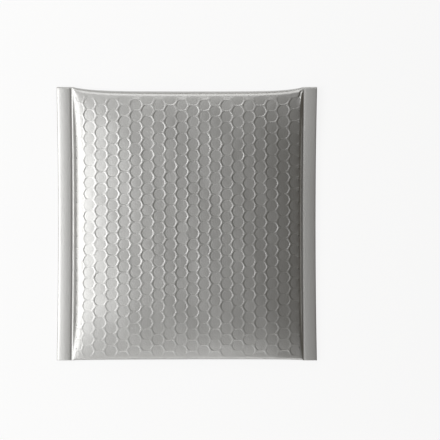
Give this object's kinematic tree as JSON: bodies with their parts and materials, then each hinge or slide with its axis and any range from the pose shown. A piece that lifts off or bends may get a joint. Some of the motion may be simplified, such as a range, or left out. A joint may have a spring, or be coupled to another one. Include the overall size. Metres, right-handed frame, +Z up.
{
  "type": "metallic bubble mailer",
  "caption": "Padded mailer of matte silver bubble film, closed and lying face up: side seams welded flat, a fold at each end, and the flap tucked under the back.",
  "frame": {"origin": "centre of the outline, on the plane that the mailer lies on", "axes": "+X across the mailer; +Y from the bottom fold to the flap's fold; +Z up, out of the front"},
  "size_m": [0.2462, 0.2588, 0.0119],
  "materials": {
    "silver_film": "satin silver: metallised film over air bubbles, softly reflecting, with no print",
    "hot_melt": "clear to pale yellow hot-melt adhesive, glossy and tacky",
    "siliconed_paper": "smooth white siliconed paper, plain"
  },
  "bodies": {
    "root": {"pouch": "silver_film", "adhesive_strip": "hot_melt", "release_liner": "siliconed_paper"}
  },
  "joints": []
}
